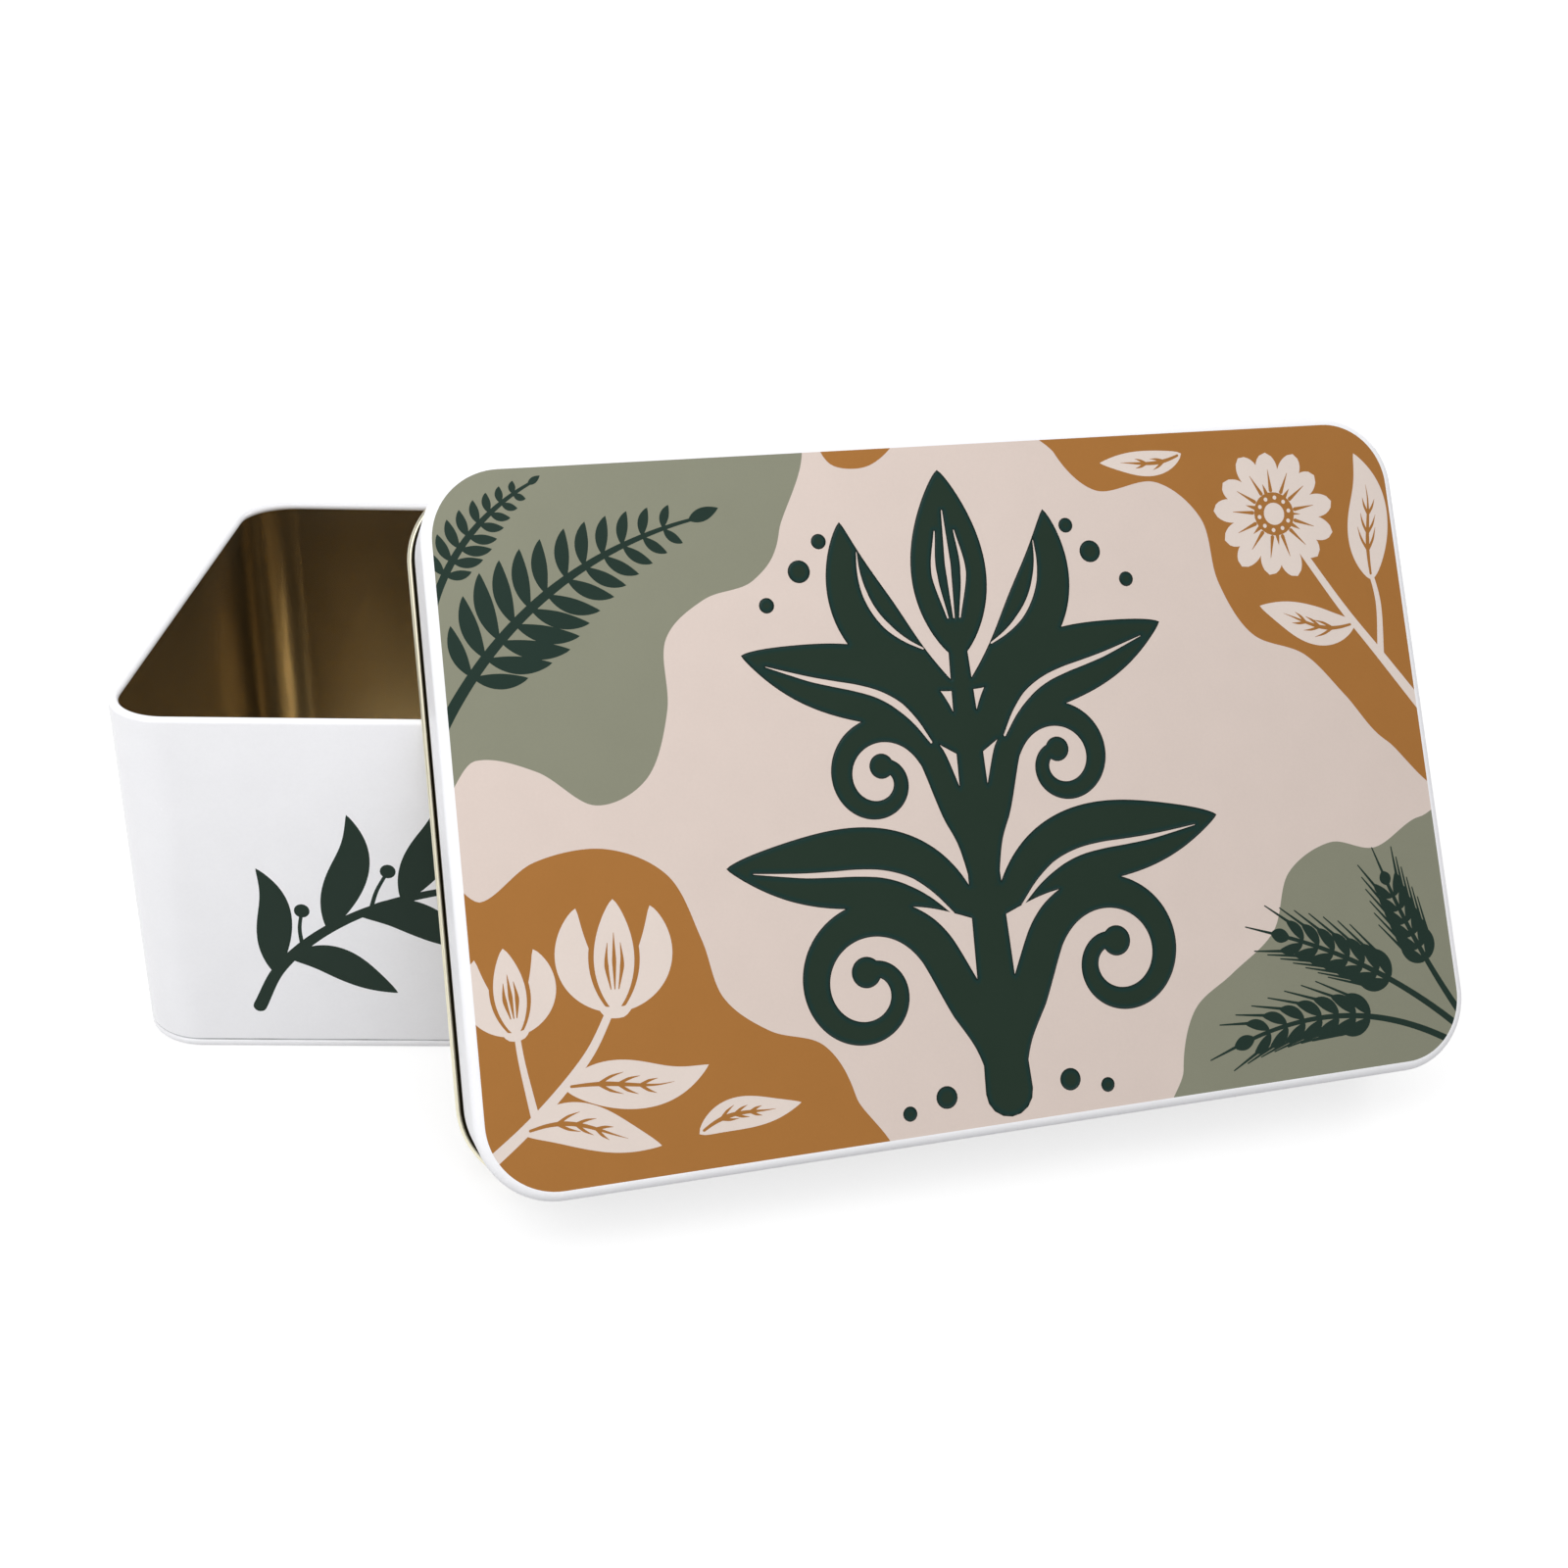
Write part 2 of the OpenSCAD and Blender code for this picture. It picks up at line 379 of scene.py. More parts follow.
drawing = {
    "step": 0.6,   # mm between two points of a line
    "fineStep": 0.35,   # the same along a scroll
    "fewest": 4,   # points of a line
    "curvePoints": 24,   # worked out on each stretch of a curve, before its points are spaced evenly
    "capPoints": 9,   # round the end of a line, with the two on its sides
    "roundFrom": 0.25,   # half the width in mm from which a line has round ends
    "leafPoints": 13,   # fewest points of a leaf's rib
    "ribPoints": 101,   # of a rib that leaflets or grains grow on
    "weld": 1e-5,   # mm; places of the print nearer than this are one point
}


def anticlockwise(outline):
    x, y = outline.T
    return outline if np.dot(x, np.roll(y, -1)) > np.dot(y, np.roll(x, -1)) else outline[::-1]


def inkedTriangles(border, shapes, ground, loose=()):
    # the flat print: triangles that end at every outline, each with the ink that lies on top
    points, faces = [], []
    for outline in [border] + [shape for ink, shape in shapes]:
        outline = anticlockwise(np.array(outline, float))
        faces.append(list(range(len(points), len(points) + len(outline))))
        points += [Vector(p) for p in outline]
    points += [Vector(p) for p in loose]
    insideOnly = 1   # no triangles outside the outlines
    cut = delaunay_2d_cdt(points, [], faces, insideOnly, drawing["weld"], True)
    made, triangles, owners = cut[0], cut[2], cut[5]
    looks = [ground] + [ink for ink, shape in shapes]
    kept = [(t, looks[max(over)]) for t, over in zip(triangles, owners) if 0 in over]
    return np.array([tuple(p) for p in made]), [t for t, look in kept], [look for t, look in kept]


def smoothLine(points, closed=False, step=drawing["step"]):   # Catmull-Rom curve in even steps
    p = np.array(points, float)
    before, after = (p[-1], p[:2]) if closed else (2 * p[0] - p[1], 2 * p[-1] - p[-2])
    p = np.vstack([before, p, after])
    t = np.linspace(0, 1, drawing["curvePoints"], endpoint=False)[:, None]
    runs = [0.5 * (2 * b + (c - a) * t + (2 * a - 5 * b + 4 * c - d) * t ** 2
                   + (3 * b - a - 3 * c + d) * t ** 3)
            for a, b, c, d in zip(p, p[1:], p[2:], p[3:])]
    line = np.vstack(runs + [p[-2:-1]])
    way = np.concatenate([[0], np.cumsum(np.hypot(*np.diff(line, axis=0).T))])
    even = np.linspace(0, way[-1], max(drawing["fewest"], int(round(way[-1] / step)) + 1))
    line = np.column_stack([np.interp(even, way, line[:, 0]), np.interp(even, way, line[:, 1])])
    return line[:-1] if closed else line


def scrollLine(centre, radii, start, sweep, count=36, power=0.85):   # spiral between two radii
    t = np.linspace(0, 1, count)
    angle = np.radians(start + sweep * t)
    radius = radii[0] + (radii[1] - radii[0]) * t ** power
    return [(centre[0] + r * cos(a), centre[1] + r * sin(a)) for r, a in zip(radius, angle)]


def sides(line):   # direction along a line and to its left, at each of its points
    ahead = np.gradient(line, axis=0)
    ahead /= np.hypot(*ahead.T)[:, None]
    return ahead, np.column_stack([-ahead[:, 1], ahead[:, 0]])


def stroke(points, widths, step=drawing["step"]):   # brush line whose width runs through the given values
    line = smoothLine(points, step=step)
    half = np.interp(np.linspace(0, 1, len(line)), np.linspace(0, 1, len(widths)), widths) / 2
    ahead, side = sides(line)
    caps = []
    for k, way in ((-1, 1), (0, -1)):
        turns = np.linspace(90, -90, drawing["capPoints"])[1:-1] if half[k] > drawing["roundFrom"] else [0.0]
        caps.append([line[k] + half[k] * way * (cos(a) * ahead[k] + sin(a) * side[k])
                     for a in np.radians(turns)])
    return np.vstack([line + half[:, None] * side, caps[0], (line - half[:, None] * side)[::-1], caps[1]])


def ribLine(base, tip, bow, sway=0.0, count=drawing["ribPoints"]):
    # middle line of a leaf; bow bends it one way, sway makes an S of it
    base, tip = np.array(base, float), np.array(tip, float)
    across = np.array([base[1] - tip[1], tip[0] - base[0]])
    t = np.linspace(0, 1, count)[:, None]
    return base + (tip - base) * t + across * (4 * bow * t * (1 - t) + sway * np.sin(2 * np.pi * t))


def leaf(base, tip, half, bow=0.0, sway=0.0, widest=0.45, blunt=0.85):   # pointed leaf on its rib
    count = max(drawing["leafPoints"], int(dist(base, tip) / drawing["step"]))
    rib = ribLine(base, tip, bow, sway, count)
    t = np.linspace(0, 1, len(rib))
    side = sides(rib)[1]
    wide = half * np.sin(np.pi * t ** (log(0.5) / log(widest))).clip(0) ** blunt
    return np.vstack([rib + wide[:, None] * side, (rib - wide[:, None] * side)[-2:0:-1]])


def spot(centre, radius, count=None):
    count = count or max(16, int(radius * 10))   # ten points for a mm of radius
    a = np.linspace(0, 2 * np.pi, count, endpoint=False)
    return np.column_stack([centre[0] + radius * np.cos(a), centre[1] + radius * np.sin(a)])


veins = {
    "points": 61, "rib": slice(3, 50, 6),   # the middle vein runs along this part of the rib
    "first": 14, "span": 26,   # points of the rib where side veins start
    "ribWidths": [0.51, 0.85, 0.595, 0.05], "sideWidths": [0.6375, 0.51, 0.05],
    "reach": 0.62, "less": 0.1,   # of side veins, in half widths of the leaf; less with each pair
    "turns": ((0.8, 0.45), (1.7, 0.72)),   # ahead and sideways, in reaches
    "step": 0.4, "widest": 0.42,
}


def veinedLeaf(base, tip, half, ink, ground, bow, sway=0.03, pairs=3):   # leaf with its veins left out
    v = veins
    rib = ribLine(base, tip, bow, sway, v["points"])
    ahead, side = sides(rib)
    blade = leaf(base, tip, half, bow, sway, v["widest"])
    shapes = [(ink, blade), (ground, stroke(rib[v["rib"]], v["ribWidths"]))]
    for k in range(pairs):
        at = v["first"] + int(v["span"] * k / pairs)
        out = half * (v["reach"] - v["less"] * k)
        for way in (1, -1):
            turns = [rib[at] + out * (far * ahead[at] + wide * way * side[at]) for far, wide in v["turns"]]
            shapes.append((ground, stroke([rib[at]] + turns, v["sideWidths"], v["step"])))
    return shapes


daisyShape = {   # in radii of the flower
    "root": 0.2, "half": 0.178, "sway": 0.02, "petal": (0.66, 0.55),
    "shorter": 0.06,   # every second petal
    "vein": (0.36, 0.68), "veinWidths": [0.8, 0.1],   # widths in mm
    "heart": 0.33, "eye": 0.17,
    "seeds": 10, "seedRing": 0.25, "seed": 0.032, "seedPoints": 10,
}


def daisy(centre, radius, petals, ink, ground, turn):   # open flower with narrow petals round a dotted heart
    d = daisyShape
    centre = np.array(centre, float)
    shapes = []
    for k in range(petals):
        a = radians(turn + 360 * k / petals)
        out = np.array([cos(a), sin(a)])
        root, tip = centre + d["root"] * radius * out, centre + radius * (1 - d["shorter"] * (k % 2)) * out
        shapes.append((ink, leaf(root, tip, d["half"] * radius, 0, d["sway"] * (-1) ** k, *d["petal"])))
        vein = [centre + share * radius * out for share in d["vein"]]
        shapes.append((ground, stroke(vein, d["veinWidths"])))
    shapes.append((ground, spot(centre, d["heart"] * radius)))
    shapes.append((ink, spot(centre, d["eye"] * radius)))
    for k in range(d["seeds"]):
        a = radians(turn + 360 / d["seeds"] * k)
        place = centre + d["seedRing"] * radius * np.array([cos(a), sin(a)])
        shapes.append((ink, spot(place, d["seed"] * radius, d["seedPoints"])))
    return shapes


tulipShape = {   # in heights of the flower
    "outer": (0.34, 0.93, 0.17, 0.19), "outerPetal": (0, 0.5, 0.75),   # tip, half width, bow
    "gap": (-0.03, 1.05, 0.235), "middle": (0.0, 1, 0.185),   # foot, tip, half width
    "petal": (0, 0, 0.47, 0.75),
    "cup": [(-0.16, 0.07), (-0.07, 0), (0.07, 0), (0.16, 0.07)],
    "cupWidth": 0.1, "cupEnd": 0.5,   # end in mm
    "lines": [[(-0.036, 0.2), (-0.072, 0.42), (-0.06, 0.61)], [(0, 0.2), (0, 0.42), (0, 0.7)],
              [(0.036, 0.2), (0.072, 0.42), (0.06, 0.61)]],
    "lineWidths": [0.2, 0.8, 0.1],   # in mm
}


def tulip(base, height, ink, ground, turn):   # cup of three petals with a gap between them
    p, h = tulipShape, height
    shapes = []
    x, y, half, bow = p["outer"]
    for way in (1, -1):
        shapes.append((ink, leaf((0, 0), (x * h * way, y * h), half * h, -bow * way, *p["outerPetal"])))
    for colour, (foot, top, half) in ((ground, p["gap"]), (ink, p["middle"])):
        shapes.append((colour, leaf((0, foot * h), (0, top * h), half * h, *p["petal"])))
    cupWidths = [p["cupEnd"], p["cupWidth"] * h, p["cupWidth"] * h, p["cupEnd"]]
    shapes.append((ink, stroke([(x * h, y * h) for x, y in p["cup"]], cupWidths)))
    for line in p["lines"]:
        shapes.append((ground, stroke([(x * h, y * h) for x, y in line], p["lineWidths"])))
    c, s = cos(radians(turn)), sin(radians(turn))
    return [(colour, outline @ np.array([[c, s], [-s, c]]) + base) for colour, outline in shapes]


fernShape = {
    "every": 10, "stem": (1.3, 1), "stemEnd": 0.5,   # the rib through every tenth point; its end in mm
    "first": 20, "span": 74, "last": 94,   # points of the rib where leaflets grow
    "growth": (0.7, 0.88, 1.0),   # of the first pairs and of the others
    "taper": 0.75, "taperPower": 1.1,
    "lean": (0.55, 0.83),   # ahead and sideways
    "half": 0.1, "least": 0.42, "bow": 0.07, "leaf": (0, 0.5, 0.8),
    "past": 0.03, "lastHalf": 0.09,
}


def fern(base, tip, ink, pairs, reach, bow, width):   # arched rib with leaflets in pairs
    f = fernShape
    rib = ribLine(base, tip, bow)
    ahead, side = sides(rib)
    shapes = [(ink, stroke(rib[::f["every"]], [width * share for share in f["stem"]] + [f["stemEnd"]]))]
    for k in range(pairs):
        at = f["first"] + int(f["span"] * k / pairs)
        growth = f["growth"][min(k, len(f["growth"]) - 1)]
        far = reach * (1 - f["taper"] * (k / pairs) ** f["taperPower"]) * growth
        for way in (1, -1):
            end = rib[at] + far * (f["lean"][0] * ahead[at] + f["lean"][1] * way * side[at])
            shapes.append((ink, leaf(rib[at], end, f["half"] * far + f["least"], f["bow"] * way, *f["leaf"])))
    end = rib[-1] + f["past"] * (rib[-1] - rib[0])
    shapes.append((ink, leaf(rib[f["last"]], end, f["lastHalf"] * reach)))
    return shapes


barleyShape = {   # in lengths of a grain
    "every": 10, "stem": [1.5, 1.1, 0.7],   # widths of the stalk in mm
    "first": 46, "span": 48, "last": 93,   # points of the stalk where grains sit
    "taper": 0.25, "off": 0.2,   # off is in mm, between stalk and grain
    "lean": (0.84, 0.5), "half": 0.19, "bow": 0.1, "leaf": (0, 0.5, 0.7),
    "bristleStart": 0.12, "bristle": (0.95, 0.3), "bristleWidths": [0.6, 0.25],   # widths in mm
    "lastReach": 0.1, "lastHalf": 0.2, "lastBristle": 0.9,
}


def barleyEar(base, tip, ink, rows, grain, bow):   # stalk with grains in pairs and thin bristles
    b = barleyShape
    rib = ribLine(base, tip, bow)
    ahead, side = sides(rib)
    shapes = [(ink, stroke(rib[::b["every"]], b["stem"]))]
    for k in range(rows):
        at = b["first"] + int(b["span"] * k / rows)
        size = grain * (1 - b["taper"] * k / rows)
        for way in (1, -1):
            start = rib[at] + b["off"] * way * side[at]
            end = start + size * (b["lean"][0] * ahead[at] + b["lean"][1] * way * side[at])
            shapes.append((ink, leaf(start, end, b["half"] * size, b["bow"] * way, *b["leaf"])))
            foot = end - b["bristleStart"] * size * ahead[at]
            top = end + size * (b["bristle"][0] * ahead[at] + b["bristle"][1] * way * side[at])
            shapes.append((ink, stroke([foot, top], b["bristleWidths"])))
    end = rib[-1] + b["lastReach"] * grain * ahead[-1]
    shapes.append((ink, leaf(rib[b["last"]], end, b["lastHalf"] * grain, 0, *b["leaf"])))
    top = rib[-1] + b["lastBristle"] * grain * ahead[-1]
    shapes.append((ink, stroke([rib[-1], top], b["bristleWidths"])))
    return shapes


emblemPlan = {   # the right half of the scrolled plant, and its middle
    "scrolls": [   # stem; centre, radii, start and sweep of the spiral; widths; radius of the spot at its end
        ([(0.5, -57), (2.5, -49), (6.5, -41)], ((25, -37), (15.5, 3.2), 168, -445),
         [6, 7.8, 7.4, 6.2, 5, 4, 3], 2.9),
        ([(0.5, -22), (2, -12), (4.6, -5)], ((18.5, 1.5), (11.5, 2.5), 172, -430),
         [4, 5.6, 5.4, 4.6, 3.6, 2.6], 2.4),
    ],
    "leaves": [   # base, tip, half width, bow, sway, where it is widest
        ((1, -27), (50, -12), 7.6, 0.1, 0.035, 0.5),
        ((1, 4), (43, 27), 7.2, 0.1, 0.035, 0.5),
        ((0.5, 17), (21, 51), 6.2, -0.17, 0, 0.52),
    ],
    "blunt": 0.8,
    "dots": [((30, 42), 2.2), ((37, 36), 1.5), ((25.5, 47.5), 1.5), ((12.5, -58.5), 2.1), ((20, -60.5), 1.4)],
    "veins": [   # base, tip, bow, sway, widths
        ((7, -25), (45, -13.5), 0.1, 0.035, [0.4, 1.5, 1.3, 0.9, 0.1]),
        ((7.5, 7.5), (38.5, 24.5), 0.1, 0.035, [0.4, 1.5, 1.3, 0.9, 0.1]),
        ((7, 25.5), (18.2, 45), -0.17, 0, [0.3, 1.2, 1.0, 0.1]),
    ],
    "veinPoints": 9,
    "stem": [(0, -59), (0, -40), (0, -15), (0, 10), (0, 28)],
    "stemWidths": [9.5, 7.6, 6.4, 5.4, 3.6],
    "budGap": ((0, 20), (0, 62), 9.3), "bud": ((0, 23), (0, 60), 7.7), "budShape": (0, 0, 0.45, 0.78),
    "budLines": [[(-1.25, 31), (-3, 40), (-2, 48)], [(0, 31), (0, 40), (0, 52)],
                 [(1.25, 31), (3, 40), (2, 48)]],
    "budLineWidths": [0.3, 1.15, 0.2],
}


def emblemShapes(e, ink, ground):   # one half is drawn, then flipped
    half = []
    for stem, spiral, widths, end in e["scrolls"]:
        line = stem + scrollLine(*spiral)
        half += [(ink, stroke(line, widths, drawing["fineStep"])), (ink, spot(line[-1], end))]
    half += [(ink, leaf(*values, e["blunt"])) for values in e["leaves"]]
    half += [(ink, spot(*dot)) for dot in e["dots"]]
    for *rib, widths in e["veins"]:
        half.append((ground, stroke(ribLine(*rib, e["veinPoints"]), widths)))
    shapes = [(colour, outline * (-1, 1)) for colour, outline in half] + half
    shapes.append((ground, leaf(*e["budGap"], *e["budShape"])))
    shapes.append((ink, stroke(e["stem"], e["stemWidths"])))
    shapes.append((ink, leaf(*e["bud"], *e["budShape"])))
    return shapes + [(ground, stroke(line, e["budLineWidths"])) for line in e["budLines"]]


lidPlan = {   # the lid's print, in mm from the middle of its face
    "fields": [   # wavy fields; their straight sides lie outside the face
        ("sage", [(-104, 6), (-94, 12), (-83, 9), (-73, 2), (-63, 6), (-58, 18), (-57, 31), (-49, 38),
                  (-39, 41), (-33, 50), (-32, 72), (-104, 72)]),
        ("ochre", [(24, 72), (25, 62), (33, 54), (46, 55), (55, 47), (57, 34), (63, 23), (74, 18), (82, 9),
                   (90, -1), (104, -7), (104, 72)]),
        ("ochre", [(-104, -11), (-95, -13), (-85, -7), (-72, -6), (-61, -12), (-56, -24), (-53, -35),
                   (-45, -42), (-35, -46), (-30, -56), (-29, -72), (-104, -72)]),
        ("sage", [(104, -20), (95, -17), (84, -22), (74, -20), (64, -25), (59, -36), (49, -43), (40, -49),
                  (36, -60), (37, -72), (104, -72)]),
        ("ochre", [(-7, 72), (-8, 66), (-14, 61.5), (-21, 62), (-24, 67), (-25, 72)]),
    ],
    "fieldStep": 0.8,
    "daisyStems": [([(100, 4), (91, 17), (84, 27), (76, 40)], [2.2, 1.7, 1.4]),
                   ([(91.4, 16.4), (92.5, 27), (91.5, 35)], [1.5, 1.2, 0.9])],
    "daisies": [((71.5, 47), 13.5, 13, 8)],   # centre, radius, petals, turn
    "daisyLeaves": [((91.7, 32), (91.5, 58.5), 4.6, -0.05), ((86.5, 23.5), (65.5, 28.5), 3.9, 0.08),
                    ((52.5, 60.5), (34.5, 59.5), 2.6, 0.06, 0.02, 2)],   # base, tip, half width, bow
    "tulipStems": [([(-100, -60), (-89, -52), (-79, -42.5), (-73.5, -34)], [2.3, 1.8, 1.4]),
                   ([(-89, -52), (-90.5, -42), (-91, -36)], [1.5, 1.2, 1.0])],
    "tulips": [((-73, -35), 20, -4), ((-91, -37), 15.5, 4)],   # base, height, turn
    "tulipLeaves": [((-83.5, -47), (-57, -46.5), 4.3, -0.06), ((-91.5, -54), (-67, -59.5), 3.9, 0.08),
                    ((-60, -58.5), (-40.5, -55.5), 2.9, 0.06)],
    "ferns": [((-101, 15), (-46, 54), 12, 14.5, 0.12, 1.7),   # base, tip, pairs, reach, bow, width
              ((-99, 40), (-78, 62.5), 8, 7, 0.1, 1.2)],
    "ears": [((101, -66), (48, -57), 7, 7, -0.13), ((101, -63), (59, -36.5), 7, 7, -0.06),
             ((100, -60), (85, -27.5), 6, 6.4, 0.03)],   # base, tip, rows, grain, bow
}


def bouquet(stems, flower, flowers, leaves, ink, ground):   # stems first, then the flowers, then the leaves
    shapes = [(ink, stroke(*stem)) for stem in stems]
    for *values, turn in flowers:
        shapes += flower(*values, ink, ground, turn)
    for base, tip, half, *shape in leaves:
        shapes += veinedLeaf(base, tip, half, ink, ground, *shape)
    return shapes


def lidShapes(p):
    shapes = [(ink, smoothLine(points, True, p["fieldStep"])) for ink, points in p["fields"]]
    shapes += bouquet(p["daisyStems"], daisy, p["daisies"], p["daisyLeaves"], "cream", "ochre")
    shapes += bouquet(p["tulipStems"], tulip, p["tulips"], p["tulipLeaves"], "cream", "ochre")
    for draw, plants in ((fern, p["ferns"]), (barleyEar, p["ears"])):
        for base, tip, *shape in plants:
            shapes += draw(base, tip, "green", *shape)
    return shapes + emblemShapes(emblemPlan, "emblem", "blush")


branchPlan = {   # berried branch on the front wall, in mm from the middle of its foot
    "stem": [(-72, 10.5), (-67, 20), (-58, 28.5), (-46, 35), (-32, 39), (-16, 40.5), (0, 39)],
    "stemWidths": [2.8, 2.3, 1.9, 1.6, 1.3, 0.8],
    "leaves": [   # base, tip, half width, bow
        ((-68, 18.5), (-70, 44), 3.6, -0.07), ((-56.5, 29.5), (-51, 56.5), 4.0, -0.08),
        ((-41, 36.5), (-32, 62), 4.3, -0.08), ((-24, 40), (-11, 63), 4.2, -0.08),
        ((-10, 40.5), (8, 56), 3.7, -0.08), ((-65, 22.5), (-43, 14), 3.7, 0.1),
        ((-50, 33), (-25, 25), 4.0, 0.1), ((-33, 38.8), (-8, 29.5), 3.8, 0.1),
        ((-2, 39.3), (22, 33), 3.5, 0.06),
    ],
    "sway": 0.03,
    "berries": [((-62, 25.5), (-61.5, 34)), ((-47.5, 34.3), (-43.5, 43.5)), ((-31, 39.2), (-25.5, 47.5)),
                ((-17, 40.5), (-10.5, 46.5)), ((-13, 40.3), (-5, 34.5))],   # foot of the stalk, berry
    "stalkBend": 0.5, "stalkWidths": [0.9, 0.7], "berry": 1.6,
}


def branchShapes(p, ink):
    shapes = [(ink, stroke(p["stem"], p["stemWidths"]))]
    shapes += [(ink, leaf(*values, p["sway"])) for values in p["leaves"]]
    for foot, berry in p["berries"]:
        middle = ((foot[0] + berry[0]) / 2 - p["stalkBend"], (foot[1] + berry[1]) / 2)
        shapes += [(ink, stroke([foot, middle, berry], p["stalkWidths"])), (ink, spot(berry, p["berry"]))]
    return shapes


lidMade = {
    "width": 200, "depth": 133.6, "height": 24.8,
    "corner": 15,   # outer radius of the four corners
    "edge": 2,   # outer radius between face and skirt
    "curl": 0.8,   # outer radius of the curl
    "pooledFrom": 262,   # degrees round the curl from which it faces the skirt and gets painted shade
    "bare": 3.4,   # strip above the curl that the enamel leaves free; it gets the painted shade of the crevice
}
boxMade = {
    "height": 77.2,
    "slip": 0.8,   # play between wall and lid
    "rimCurl": 0.95,   # outer radius of the curled rim
    "foot": 2,   # width of the turned-in rim
    "footTurn": 0.8,   # outer radius of its bend
    "grooveUp": 0.35,   # from that bend up to the groove
    "grooveTurn": 55,   # degrees of the groove's bends
    "groove": 0.15,   # inner radius of those bends
    "floorRise": 2.4,   # height of the raised floor
    "floorTurn": 0.3,   # inner radius of its bends
    "seam": 5,   # width of the folded seam
    "seamInset": 2,   # its distance from rim and groove
    "diveTurn": 45,   # degrees at which its inner half goes in through the wall
    "diveBend": 0.15,   # inner radius of the bends there
    "diveRoom": 0.12,   # play there
}
inset = tin["sheet"] + boxMade["slip"]
boxWidth, boxDepth = lidMade["width"] - 2 * inset, lidMade["depth"] - 2 * inset
boxCorner = lidMade["corner"] - inset
layer = tin["sheet"] + tin["foldGap"]


def makeWall(b):
    grooveHeight = 4 * (b["groove"] + tin["sheet"] / 2) * sin(radians(b["grooveTurn"]))
    wallLow = b["footTurn"] + b["grooveUp"] + grooveHeight
    wallHigh = b["height"] - b["rimCurl"]
    seamLow, seamHigh = wallLow + b["seamInset"], wallHigh - b["rimCurl"] - b["seamInset"]
    levels = [wallLow, seamLow, seamHigh, wallHigh]   # of the rows on the flat of the wall
    rows = bendSheet((-b["footTurn"] - b["foot"], 0), 0, [
        [b["foot"]], [b["footTurn"] - tin["sheet"], 90], [b["grooveUp"]],
        [b["groove"], b["grooveTurn"]], [b["groove"], -2 * b["grooveTurn"]], [b["groove"], b["grooveTurn"]],
        *([high - low] for low, high in zip(levels, levels[1:])),
        [b["rimCurl"] - tin["sheet"], tin["curlTurn"]]])
    digits = 4
    first = [round(place[1], digits) for place, way in rows].index(round(wallLow, digits))
    upper = 2 * ceil(b["grooveTurn"] / tin["arcStep"])
    grooveShadeRows = range(first - upper, first)   # rows on the upper side of the groove, which get painted shade

    # outer radius of a fold round one layer, and where the seam's inner half goes in through an opening
    fold = 1.5 * tin["sheet"] + tin["foldGap"]
    dive = -b["seam"] / 2 - fold - (fold + tin["foldGap"]) * sqrt(2)
    gapStart, gapEnd = -b["seam"] / 2, dive - tin["sheet"]
    stations = cornerStations(boxWidth, boxDepth, boxCorner, (gapStart, gapEnd))
    perCorner = round(90 / tin["cornerStep"]) + 1
    opening, front = perCorner, 3 * perCorner + 1   # stations where the opening and the front's flat start
    holes = [(opening, first + 1, side) for side in ("right", "left")]
    holes += [(front, first + k, "right") for k in range(len(levels) - 1)]

    # painted shade on the groove's upper side, white enamel elsewhere
    def outside(row):
        return "groove" if row in grooveShadeRows else "white"

    shell = Shell()
    shell.sheetRound(rows, stations, outside, always("lacquer"), holes=holes)

    # thickness of the sheet round the opening
    back = boxDepth / 2
    corners = ((gapStart, seamLow), (gapEnd, seamLow), (gapEnd, seamHigh), (gapStart, seamHigh))
    ring = [Vector((x, back, z)) for x, z in corners]
    inward = Vector((0, -tin["sheet"], 0))
    for a, c, (x, z) in zip(ring, ring[1:] + ring[:1], ((0, 1), (1, 0), (0, -1), (-1, 0))):
        shell.face([a, c, c + inward, a + inward], [Vector((x, 0, z))] * 4, "cut")
    wallPoints = shell.known

    # the two folded halves of the seam, which touch the wall but share no points with it
    ends = [(Vector((0, back, z)), Vector((1, 0, 0)), Vector((0, 1, 0))) for z in (seamLow, seamHigh)]
    outer = bendSheet((gapStart, 0), 180, [[fold - tin["sheet"], 180], [b["seam"] - fold]])
    slope, bends = radians(b["diveTurn"]), 2 * b["diveBend"] + tin["sheet"]
    climb = (3 * layer - bends * (1 - cos(slope))) / sin(slope)
    across = climb * cos(slope) + bends * sin(slope)
    under = dive + 3 * layer + b["diveRoom"]
    inner = bendSheet((-b["seam"] / 2 + fold, -layer - tin["sheet"]), 0, [
        [b["seam"] - fold], [fold - tin["sheet"], -180], [b["seam"] / 2 - under],
        [b["diveBend"], -b["diveTurn"]], [climb], [b["diveBend"], b["diveTurn"]], [under - across - gapEnd]])
    for half in (outer, inner):
        shell.known = {}
        shell.sheetRound(half, ends, always("white"), always("lacquer"), closed=False)

    # the flat of the front wall carries the printed branch
    shell.known = wallPoints
    side = boxWidth / 2 - boxCorner
    border = [(-side, wallLow)] + [(side, z) for z in levels] + [(-side, z) for z in levels[:0:-1]]
    points, triangles, looks = inkedTriangles(border, branchShapes(branchPlan, "branch"), "white")

    def onFront(c):
        return Vector((points[c][0], -boxDepth / 2, points[c][1]))

    shell.flatPrint(triangles, looks, onFront, Vector((0, -1, 0)))
    return shell.finish("wallShell")


def borderInside(stations, edge):   # outline of the flat that ends this far inside the stations
    return [(origin + across * -edge)[:2] for origin, across, up in stations]


